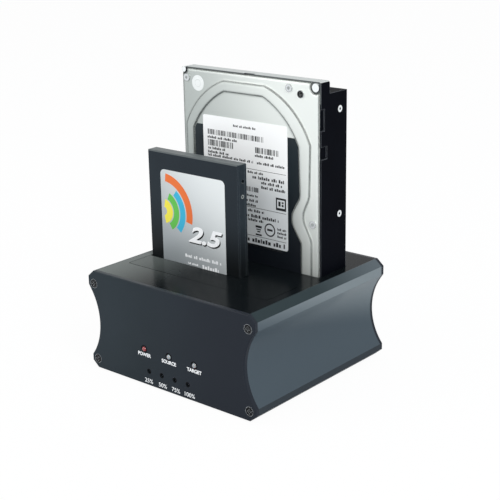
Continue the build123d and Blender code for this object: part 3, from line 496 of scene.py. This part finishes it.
# Circuit boards: glass laminate under green solder mask.
# The mask is a thin wet coat of uneven depth, so its green wanders.
solder_mask = finish("solder_mask", display(12, 74, 40), display(26, 104, 58), smooth=0.25, rough=0.4,
                     relief=0.3, blotch_scale=260, grain_scale=700, coat=0.4)
cover_node(solder_mask, "main_board", "indicator_board", "hdd_board", "ssd_board")

# Sockets, header, plugs and chips: black glass-filled mouldings, soldered to their boards.
# The glass leaves them matt.
black_moulding = finish("black_moulding", display(22, 23, 25), display(36, 37, 40), smooth=0.4, rough=0.55,
                        relief=0.3, grain_scale=1200)
cover_node(black_moulding, "front_drive_socket", "rear_drive_socket", "power_jack", "copy_button_switch",
           "indicator_header", "bridge_chips", "hdd_plug", "ssd_plug")

# Capacitors: drawn aluminium cans, standing on the main board.
# Their sleeves are bare metal.
bright_can = finish("bright_can", display(168, 170, 174), display(205, 207, 210), smooth=0.25, rough=0.35,
                    relief=0.1, metallic=1.0)
cover_node(bright_can, "capacitors")

# Rear switch and button: glossy black mouldings in the rear panel.
# Their edges are painted a shade lighter, a painted highlight.
switch_plastic = finish("switch_plastic", display(24, 24, 26), display(33, 33, 36), smooth=0.14, rough=0.22,
                        relief=0.05, coat=0.3, edge_colour=display(62, 62, 66), edge_width=0.0003)
cover_node(switch_plastic, "power_switch", "switch_rocker", "copy_button")

# Slim drive: a metal case in two halves, painted satin black, with edges cut at an angle.
# The top end is painted a shade lighter, a painted light, the paint is painted darker towards the foot, a painted
# shade, and the edges carry a painted highlight.
slim_paint = finish("slim_paint", display(26, 34, 41), display(31, 40, 47), smooth=0.32, rough=0.42,
                    relief=0.2, specular=0.16, edge_colour=display(96, 104, 108), edge_width=0.0003,
                    drift=((0, 0, 0.098), (0, 0, 0.064), display(12, 16, 18)),
                    facings=(((0, 0, 1), 0.1, display(84, 90, 91)),))
cover_node(slim_paint, "ssd_case", "ssd_base")

# Slim drive's label: silvered film with a painted sheen from corner to corner, a painted reflection.
# Its print is generic: plain numerals with a shadow and rows of small marks, in thin films of ink.
mm = 0.001
slim_low, slim_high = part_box("ssd_label")
painted_sheen_start = (slim_low.x, 0, slim_low.z + 30.0 * mm)
painted_sheen_full = (slim_high.x, 0, slim_high.z)
silver_film = finish("silver_film", display(146, 153, 156), display(158, 164, 167), smooth=0.3, rough=0.4,
                     relief=0.05, metallic=0.15, blotch_scale=9,
                     drift=(painted_sheen_start, painted_sheen_full, display(228, 232, 231)))
cover_node(silver_film, "ssd_label")


def printed_areas(name, areas, face_y):
    """Ink on a face that looks to the front: a thin block for each area (x0, x1, z0, z1), in one mesh."""
    bpy.ops.object.select_all(action="DESELECT")
    for i, (x0, x1, z0, z1) in enumerate(areas):
        bpy.ops.mesh.primitive_cube_add(
            size=1, location=((x0 + x1) / 2, face_y, (z0 + z1) / 2), scale=(x1 - x0, 2 * ink_film, z1 - z0)
        )
        if i == 0:
            bpy.ops.object.transform_apply(location=True, rotation=True, scale=True)
            bpy.ops.object.mode_set(mode="EDIT")
    bpy.ops.object.mode_set(mode="OBJECT")
    bpy.context.object.name = name
    return bpy.context.object


letter_widths = (0.62, 0.5, 0.7, 0.3, 0.62, 0.55, 0.72, 0.5)
letter_heights = (1.0, 0.72, 0.72, 1.0, 0.72, 1.0, 0.72)
letter_gap = 0.22
word_gap = 0.6
word_lengths = (4, 2, 6, 3, 5, 7, 3)


def letter_row(x0, x1, z, height, first):
    """Marks the size of letters, in words, that read as small print and say nothing."""
    areas = []
    x = x0
    count = first
    in_word = 0
    word = first
    while x < x1:
        width = letter_widths[count % len(letter_widths)] * height
        tall = letter_heights[count % len(letter_heights)] * height
        areas.append((x, min(x + width, x1), z - height / 2, z - height / 2 + tall))
        x += width + letter_gap * height
        count += 1
        in_word += 1
        if in_word == word_lengths[word % len(word_lengths)]:
            x += word_gap * height
            in_word = 0
            word += 1
    return areas


slim_x = (slim_low.x + slim_high.x) / 2
slim_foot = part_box("ssd_case")[0].z
numeral_x = slim_x + 7.8 * mm
numeral_z = slim_foot + 54.0 * mm
numeral_size = 13.2 * mm
numeral_lean = 0.3
numeral_bold = 0.4 * mm
numeral_spread = 1.45
shadow_step = 0.7 * mm
numerals = []
for step, film_y in ((shadow_step, slim_low.y + ink_film), (0, slim_low.y - ink_film)):
    numerals.append(printed_text("2.5", numeral_x + step, film_y, numeral_z - step, numeral_size,
                                 lean=numeral_lean, bold=numeral_bold, spread=numeral_spread))
black_ink = finish("black_ink", display(22, 24, 26), display(38, 40, 42), smooth=0.45, rough=0.6, relief=0.1)
hand_over(joined(numerals[:1], "slim_numeral_shadow"), black_ink, "ssd")
small_rows = []
for x0, x1, z, height, first in (
    (-7.0, 21.0, 40.8, 1.9, 0), (-5.0, 4.0, 36.4, 1.2, 3), (6.4, 20.5, 36.2, 2.4, 5),
):
    small_rows += letter_row(slim_x + x0 * mm, slim_x + x1 * mm, slim_foot + z * mm, height * mm, first)
slim_print = printed_areas("slim_small_print", small_rows, slim_low.y)
hand_over(joined([numerals[1], slim_print], "slim_white_print"), white_ink, "ssd")

# Arcs of colour at the label's left edge: flat rings of ink about one middle, each over its own angle.
# Each is its cross-section, spun about the middle. The table has radii in mm and angles in degrees.
arc_inks = (
    ("orange", (218, 98, 24), 18.2, 23.0, 84, -12), ("cyan", (28, 164, 200), 13.2, 17.4, 52, -40),
    ("green", (78, 176, 56), 8.2, 12.4, 66, -58), ("yellow", (228, 216, 52), 2.6, 7.4, 78, -78),
)
arc_x = slim_low.x + 1.6 * mm
arc_z = slim_foot + 65.0 * mm
arc_glow = 14


def printed_arc(name, x, y, z, inner, outer, high, low):
    """A flat ring of ink between two angles, in degrees up from the right."""
    start = math.radians(low)
    middle = (inner + outer) / 2
    bpy.ops.object.select_all(action="DESELECT")
    place = (x + middle * math.cos(start), y, z + middle * math.sin(start))
    bpy.ops.mesh.primitive_plane_add(size=1, location=place, rotation=(0, -start, 0))
    piece = bpy.context.object
    piece.name = name
    piece.scale = (outer - inner, 2 * ink_film, 1)
    bpy.ops.object.transform_apply(location=True, rotation=True, scale=True)
    bpy.ops.object.mode_set(mode="EDIT")
    bpy.ops.mesh.select_all(action="SELECT")
    bpy.ops.mesh.spin(steps=24, angle=math.radians(high - low), center=(x, y, z), axis=(0, 1, 0))
    bpy.ops.mesh.select_all(action="SELECT")
    bpy.ops.mesh.remove_doubles(threshold=1e-6)
    bpy.ops.mesh.normals_make_consistent(inside=False)
    bpy.ops.object.mode_set(mode="OBJECT")
    return piece


for ink_name, colour, inner, outer, high, low in arc_inks:
    strip = printed_arc("arc_" + ink_name, arc_x, slim_low.y, arc_z, inner * mm, outer * mm, high, low)
    light = [min(255, c + arc_glow) for c in colour]
    ink = finish("ink_" + ink_name, display(*colour), display(*light), smooth=0.35, rough=0.45, relief=0.05)
    hand_over(strip, ink, "ssd")

# Big drive: a cast body, coated black, open to the cover in front and to the board behind.
# Its top end is painted light grey, a painted reflection of the bright room, and the faces that slope up to the
# front are a mid grey. The tapped holes in its sides are bare metal, and its edges carry a painted highlight.
big_low, big_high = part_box("hdd_casting")
cover_low, cover_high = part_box("hdd_cover")
end_reach = big_high.z - 3.0 * mm
end_painted_reflection = display(190, 194, 192)
rim_reach = 0.5 * big_high.z - big_low.y - 7.0 * mm
rim_grey = display(92, 96, 95)
boss_reach = -cover_low.y - 1.0 * mm
boss_metal = display(236, 239, 238)
bare_and_reflecting_faces = (((0, 0, 1), end_reach, end_painted_reflection), ((0, -1, 0.5), rim_reach, rim_grey),
              ((0, -1, 0), boss_reach, boss_metal))
casting_coat = finish("casting_coat", display(7, 8, 13), display(10, 12, 18), smooth=0.4, rough=0.52,
                      relief=0.3, specular=0.01, edge_colour=display(112, 116, 122), edge_width=0.00045,
                      facings=bare_and_reflecting_faces)
cover_node(casting_coat, "hdd_casting")

# Big drive's cover: bright steel sheet, pressed with a rolled ridge round the platters.
# The dark lines on each side of the ridge and along the sheet's own edge are painted shade.
# Its painted sheen grows to the upper right, a painted reflection, the walls turned left are painted shade, and a
# grey painted shade gathers at its folds.
painted_sheen_drop = 30.0 * mm
painted_sheen_end = 0.7 * cover_high.x
cover_painted_sheen = ((cover_low.x, 0, cover_high.z - painted_sheen_drop), (painted_sheen_end, 0, cover_high.z),
               display(236, 240, 235))
left_walls_painted_shade = ((-0.8, -0.6, 0), -1, display(104, 112, 108))
cover_steel = finish("cover_steel", display(174, 180, 176), display(182, 188, 184), smooth=0.36, rough=0.42,
                     relief=0.05, metallic=0.5, blotch_scale=12, edge_colour=display(30, 36, 35),
                     edge_width=0.0010, edge_turn=0.94, drift=cover_painted_sheen, facings=(left_walls_painted_shade,),
                     softness=0.0024, fold_shade=(display(160, 167, 163), 0.0017))
cover_node(cover_steel, "hdd_cover")
# The cover screws' heads are bright steel with painted shade round their rims.
screw_steel = finish("screw_steel", display(206, 209, 209), display(232, 234, 234), smooth=0.2, rough=0.3,
                     relief=0.1, metallic=0.7, edge_colour=display(84, 88, 88), edge_width=0.0004,
                     edge_turn=0.85)
cover_node(screw_steel, "hdd_cover_screws")

# Damping sheet under the big label: dark foil glued inside the ridge.
# It is painted lighter at the top, a painted light, and darker towards the dock, a painted shade.
damping_foil = finish("damping_foil", display(26, 34, 39), display(36, 46, 51), smooth=0.3, rough=0.42,
                      relief=0.2, specular=0.2, drift=((0, 0, 0.140), (0, 0, 0.060), display(24, 28, 34)))
cover_node(damping_foil, "hdd_damper")

# Big drive's label: white coated paper with barcodes, ruled lines and rows of small marks.
# Every mark is generic: the rows say nothing and the barcodes hold no number. Their tables are in mm, from the
# drive's middle and foot, and end with the place in the pattern where a row starts.
label_paper = finish("label_paper", display(252, 253, 252), display(254, 255, 254), smooth=0.45, rough=0.55,
                     relief=0.1, drift=((0, 0, 0.122), (0, 0, 0.100), display(232, 236, 237)))
cover_node(label_paper, "hdd_label")

bar_pattern = (2, 1, 1, 2, 3, 1, 1, 1, 2, 2, 1, 3, 1, 2, 1, 1)
bar_module = 0.00034


def barcode(x0, x1, z0, z1, first):
    """Upright bars of the pattern's widths between two ends, with no number in them."""
    areas = []
    x = x0
    i = first
    while x < x1:
        width = bar_pattern[i % len(bar_pattern)] * bar_module
        areas.append((x, min(x + width, x1), z0, z1))
        x += width + bar_pattern[(i + 1) % len(bar_pattern)] * bar_module
        i += 2
    return areas


print_low, print_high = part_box("hdd_label")
middle_x = (big_low.x + big_high.x) / 2
foot_z = big_low.z
label_areas = []
for x0, x1, z0, z1, first in (
    (-31.3, 10.8, 109.0, 112.1, 0), (-31.3, -11.9, 102.3, 105.9, 5), (4.9, 22.0, 102.3, 105.7, 9),
    (-31.3, -14.0, 79.0, 81.8, 3), (-6.0, 7.0, 79.0, 81.8, 7), (-31.3, -8.0, 56.0, 59.4, 11),
):
    label_areas += barcode(middle_x + x0 * mm, middle_x + x1 * mm, foot_z + z0 * mm, foot_z + z1 * mm, first)
for x0, x1, z, height, first in (
    (-11.5, 5.2, 116.2, 1.3, 0), (-31.6, -8.7, 107.4, 1.5, 2), (4.6, 18.0, 100.8, 1.5, 4),
    (-31.3, -18.2, 100.9, 1.5, 1), (-31.5, -15.3, 98.6, 1.5, 5), (-31.6, 3.1, 96.65, 1.5, 3),
    (6.0, 26.5, 96.65, 1.5, 6), (-31.6, 10.3, 90.6, 1.4, 2), (-31.6, -6.0, 88.0, 1.6, 4),
    (2.5, 25.7, 88.0, 1.9, 1), (9.0, 24.2, 85.4, 1.6, 6), (9.0, 26.9, 82.7, 1.7, 0),
    (-31.6, -12.0, 85.4, 1.4, 5), (-31.6, 6.3, 76.6, 1.3, 3), (-31.6, 6.3, 73.6, 1.5, 1),
    (-31.6, 5.3, 70.9, 1.5, 4), (-31.6, 10.8, 67.7, 1.6, 2), (-31.6, 21.5, 64.5, 1.9, 6),
    (-5.0, 10.0, 62.1, 1.6, 1), (20.6, 27.0, 59.6, 1.4, 3), (20.6, 27.0, 57.4, 1.4, 5),
    (20.6, 27.0, 55.2, 1.4, 0), (-31.6, 26.0, 50.0, 2.6, 2), (-10.0, 24.0, 46.6, 1.3, 5),
):
    label_areas += letter_row(middle_x + x0 * mm, middle_x + x1 * mm, foot_z + z * mm, height * mm, first)
rule_left = print_low.x + 1.2 * mm
rule_right = print_high.x - 1.2 * mm
rule_half = 0.12 * mm
for z in (92.4, 69.6, 52.5):
    rule_z = foot_z + z * mm
    label_areas.append((rule_left, rule_right, rule_z - rule_half, rule_z + rule_half))
hand_over(printed_areas("label_print", label_areas, print_low.y), black_ink, "hdd")

# Signs on the big drive's label: a ring with a bar, a framed block and a stack of bars, all without meaning.
# They are thin films of the same black ink as the rows.
ring_x = middle_x + 15.0 * mm
ring_z = foot_z + 58.0 * mm
badge_x = middle_x + 23.4 * mm
badge_z = foot_z + 74.7 * mm
ring_outer = 4.0 * mm
ring_inner = 3.2 * mm
bar_half = 2.0 * mm
bar_rise = 0.6 * mm


def flat_ring(name, place, facing, outer, inner, corners=32, film=ink_film):
    """A flat ring on a face along X or Y: a disc with its middle inset on both sides and bridged through."""
    turn = {"x": (0, math.pi / 2, 0), "y": (math.pi / 2, 0, 0)}[facing]
    bpy.ops.object.select_all(action="DESELECT")
    bpy.ops.mesh.primitive_cylinder_add(vertices=corners, radius=outer, depth=2 * film,
                                        location=place, rotation=turn)
    piece = bpy.context.object
    piece.name = name
    bpy.ops.object.transform_apply(location=True, rotation=True, scale=True)
    bpy.ops.object.mode_set(mode="EDIT")
    bpy.ops.mesh.select_mode(type="FACE")
    bpy.ops.mesh.select_all(action="DESELECT")
    bpy.ops.object.mode_set(mode="OBJECT")
    for face in piece.data.polygons:
        face.select = abs(face.normal["xyz".index(facing)]) > 0.9
    bpy.ops.object.mode_set(mode="EDIT")
    bpy.ops.mesh.inset(thickness=outer - inner)
    bpy.ops.mesh.bridge_edge_loops()
    bpy.ops.object.mode_set(mode="OBJECT")
    return piece


signs = [flat_ring("ring", (ring_x, print_low.y, ring_z), "y", ring_outer, ring_inner)]
sign_areas = [(ring_x - bar_half, ring_x + bar_half, ring_z - bar_rise, ring_z + bar_rise)]
for x0, x1, z0, z1 in (
    (-3.7, -2.8, -3.7, 3.7), (2.8, 3.7, -3.7, 3.7), (-2.8, 2.8, 2.6, 3.7), (-2.8, 2.8, -3.7, -2.2),
    (-1.9, -0.3, -1.2, 1.6), (0.5, 1.9, -1.2, 0.0), (0.5, 1.9, 0.6, 1.6),
):
    sign_areas.append((badge_x + x0 * mm, badge_x + x1 * mm, badge_z + z0 * mm, badge_z + z1 * mm))
for x0, x1, z0, z1 in (
    (4.3, 8.9, 57.9, 59.2), (4.9, 8.3, 56.6, 57.3), (5.5, 7.7, 55.2, 56.0), (4.3, 8.9, 53.2, 54.2),
):
    sign_areas.append((middle_x + x0 * mm, middle_x + x1 * mm, foot_z + z0 * mm, foot_z + z1 * mm))
signs.append(printed_areas("sign_fill", sign_areas, print_low.y))
hand_over(joined(signs, "label_signs"), black_ink, "hdd")

# Recesses of the cover screws: six-cornered sockets, a painted shade darker inside, in the middle of each head.
# The third screw sits deep in its hole, and a dark ring round it is painted shadow, so all of it is dark but its
# rim.
screw_spots = ((-46.9, 140.8), (29.6, 142.1), (37.8, 139.5), (46.05, 66.8))
recess_painted_shade = finish("recess_painted_shade", display(8, 9, 9), display(18, 20, 20), smooth=0.5, rough=0.6, relief=0.2,
                     specular=0.08)
shade_and_bare_grey = finish("shade_and_bare_grey", display(138, 143, 141), display(158, 163, 161), smooth=0.4, rough=0.5,
                     relief=0.2, metallic=0.3)
recess_radius = 0.95 * mm
deep_radius = 1.9 * mm
deep_film = 0.12 * mm
head_y = cover_low.y
sockets = []
for x, z in screw_spots:
    place = (middle_x + x * mm, head_y, foot_z + z * mm)
    sockets.append(flat_ring("recess", place, "y", recess_radius, 0.3 * recess_radius, 6))
deep_socket = sockets.pop(2)
deep_place = (middle_x + screw_spots[2][0] * mm, head_y, foot_z + screw_spots[2][1] * mm)
deep_hole_shadow = flat_ring("deep_hole", deep_place, "y", deep_radius, 1.05 * recess_radius, film=deep_film)
hand_over(joined(sockets, "cover_screw_recesses"), shade_and_bare_grey, "hdd")
hand_over(joined([deep_socket, deep_hole_shadow], "deep_screw_recess"), recess_painted_shade, "hdd")

# Countersinks of the tapped holes in the casting's sides: bare metal rings where the coat is cut away.
# There are three on each side, near the foot, in the middle and near the top.
hole_zs = (28.5, 70.0, 130.1)
hole_y = big_high.y - 6.35 * mm
sink_outer = 1.95 * mm
sink_inner = 0.7 * mm
bright_cut = finish("bright_cut", display(214, 217, 216), display(240, 242, 241), smooth=0.25, rough=0.4,
                    relief=0.1, metallic=0.5)
countersinks = []
for side_x in (big_low.x, big_high.x):
    for z in hole_zs:
        place = (side_x, hole_y, foot_z + z * mm)
        countersinks.append(flat_ring("countersink", place, "x", sink_outer, sink_inner))
hand_over(joined(countersinks, "casting_countersinks"), bright_cut, "hdd")

# Collar in the slim drive's side: the turned end of an insert that holds the two halves together.
# It is bare grey metal, round the mouth of its bore.
collar_place = (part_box("ssd_case")[1].x, -14.0 * mm, slim_foot + 82.0 * mm)
collar_outer = 1.15 * mm
collar_inner = 0.65 * mm
collar = flat_ring("slim_collar", collar_place, "x", collar_outer, collar_inner, 24)
hand_over(collar, shade_and_bare_grey, "ssd")

# White round sticker near the cover's upper left corner, over an old breather hole.
# It is thin paper, pressed down so that the hole's rim shows through.
sticker_x = middle_x - 38.3 * mm
sticker_z = foot_z + 138.2 * mm
sticker_radius = 4.6 * mm
sticker_thick = 0.1 * mm
sheet_face_y = cover_low.y + 0.6 * mm
border = 1.6 * mm
raised_rim = 0.5 * mm
rim_slope = 0.4 * mm
rim_rise = 0.06 * mm
rim_fall = 0.05 * mm
sticker_place = (sticker_x, sheet_face_y - sticker_thick / 2, sticker_z)
bpy.ops.object.select_all(action="DESELECT")
bpy.ops.mesh.primitive_cylinder_add(vertices=48, radius=sticker_radius, depth=sticker_thick,
                                    location=sticker_place, rotation=(math.pi / 2, 0, 0))
sticker = bpy.context.object
sticker.name = "round_sticker"
bpy.ops.object.transform_apply(location=True, rotation=True, scale=True)
for face in sticker.data.polygons:
    face.select = face.normal.y < -0.9
bpy.ops.object.mode_set(mode="EDIT")
bpy.ops.mesh.select_mode(type="FACE")
bpy.ops.mesh.inset(thickness=border)
bpy.ops.mesh.inset(thickness=raised_rim, depth=rim_rise)
bpy.ops.mesh.inset(thickness=rim_slope, depth=-rim_fall)
bpy.ops.object.mode_set(mode="OBJECT")
sticker_paper = finish("sticker_paper", display(226, 230, 228), display(236, 239, 237), smooth=0.5, rough=0.6,
                       relief=0.1)
hand_over(sticker, sticker_paper, "hdd")
# The grey ring over the hole's rim is painted shade, where the paper dips.
rim_place = (sticker_x, sheet_face_y - sticker_thick, sticker_z)
sticker_rim_shade = flat_ring("sticker_rim", rim_place, "y", 2.7 * mm, 2.0 * mm)
rim_shadow = finish("rim_shadow", display(206, 211, 208), display(216, 220, 217), smooth=0.5, rough=0.6,
                    relief=0.1)
hand_over(sticker_rim_shade, rim_shadow, "hdd")

# Dark rims of the lamp holes: the panel is bored wider than each lamp, and thin dark rings on the face are a
# painted shadow for the gap.
# The four small lamps sit deep, so their rims are wide.
hole_shadow = finish("hole_shadow", display(5, 6, 8), display(9, 10, 12), smooth=0.5, rough=0.6, relief=0.1,
                     specular=0.05)
lamp_gap = 0.45 * mm
lamp_lap = 0.05 * mm
small_gap = 0.55 * mm
small_lap = 0.1 * mm
rims = []
for node in word_names:
    low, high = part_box(node)
    radius = (high.z - low.z) / 2
    place = ((low.x + high.x) / 2, panel_face, (low.z + high.z) / 2)
    rims.append(flat_ring("lamp_rim", place, "y", radius + lamp_gap, radius - lamp_lap))
small_low, small_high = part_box("progress_leds")
small_radius = (small_high.z - small_low.z) / 2
small_z = (small_low.z + small_high.z) / 2
first_x = small_low.x + small_radius
last_x = small_high.x - small_radius
for i in range(len(share_xs)):
    place = (first_x + i * (last_x - first_x) / (len(share_xs) - 1), panel_face, small_z)
    rims.append(flat_ring("small_rim", place, "y", small_radius + small_gap, small_radius - small_lap))
hand_over(joined(rims, "lamp_rims"), hole_shadow, "dock")

# Tracks on the big drive's board: copper under the green mask, in two sets that turn down to the plug.
# Each track starts at a tinned pad.
board_low, board_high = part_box("hdd_board")
track_half = 0.2 * mm
track_step = 1.6 * mm
track_count = 10
first_fall = 12.0 * mm
first_drop = 20.0 * mm
pad_inset = 6.0 * mm
pad_outer = 0.6 * mm
pad_inner = 0.25 * mm
pad_film = 0.04 * mm
track_foot = board_low.z + pad_inset
track_areas = []
pads = []
for side in (-1, 1):
    pad_x = middle_x + side * ((board_high.x - board_low.x) / 2 - pad_inset)
    for i in range(track_count):
        fall_x = middle_x + side * (first_fall + i * track_step)
        turn_z = board_high.z - first_drop - i * track_step
        left, right = sorted((fall_x, pad_x))
        track_areas.append((fall_x - track_half, fall_x + track_half, track_foot, turn_z + track_half))
        track_areas.append((left, right, turn_z - track_half, turn_z + track_half))
        pads.append(flat_ring("pad", (pad_x, board_high.y, turn_z), "y", pad_outer, pad_inner, 12, pad_film))
masked_copper = finish("masked_copper", display(40, 124, 74), display(56, 142, 88), smooth=0.25, rough=0.4,
                       relief=0.1, coat=0.4)
hand_over(printed_areas("board_tracks", track_areas, board_high.y), masked_copper, "hdd")
hand_over(joined(pads, "board_pads"), bright_steel, "hdd")
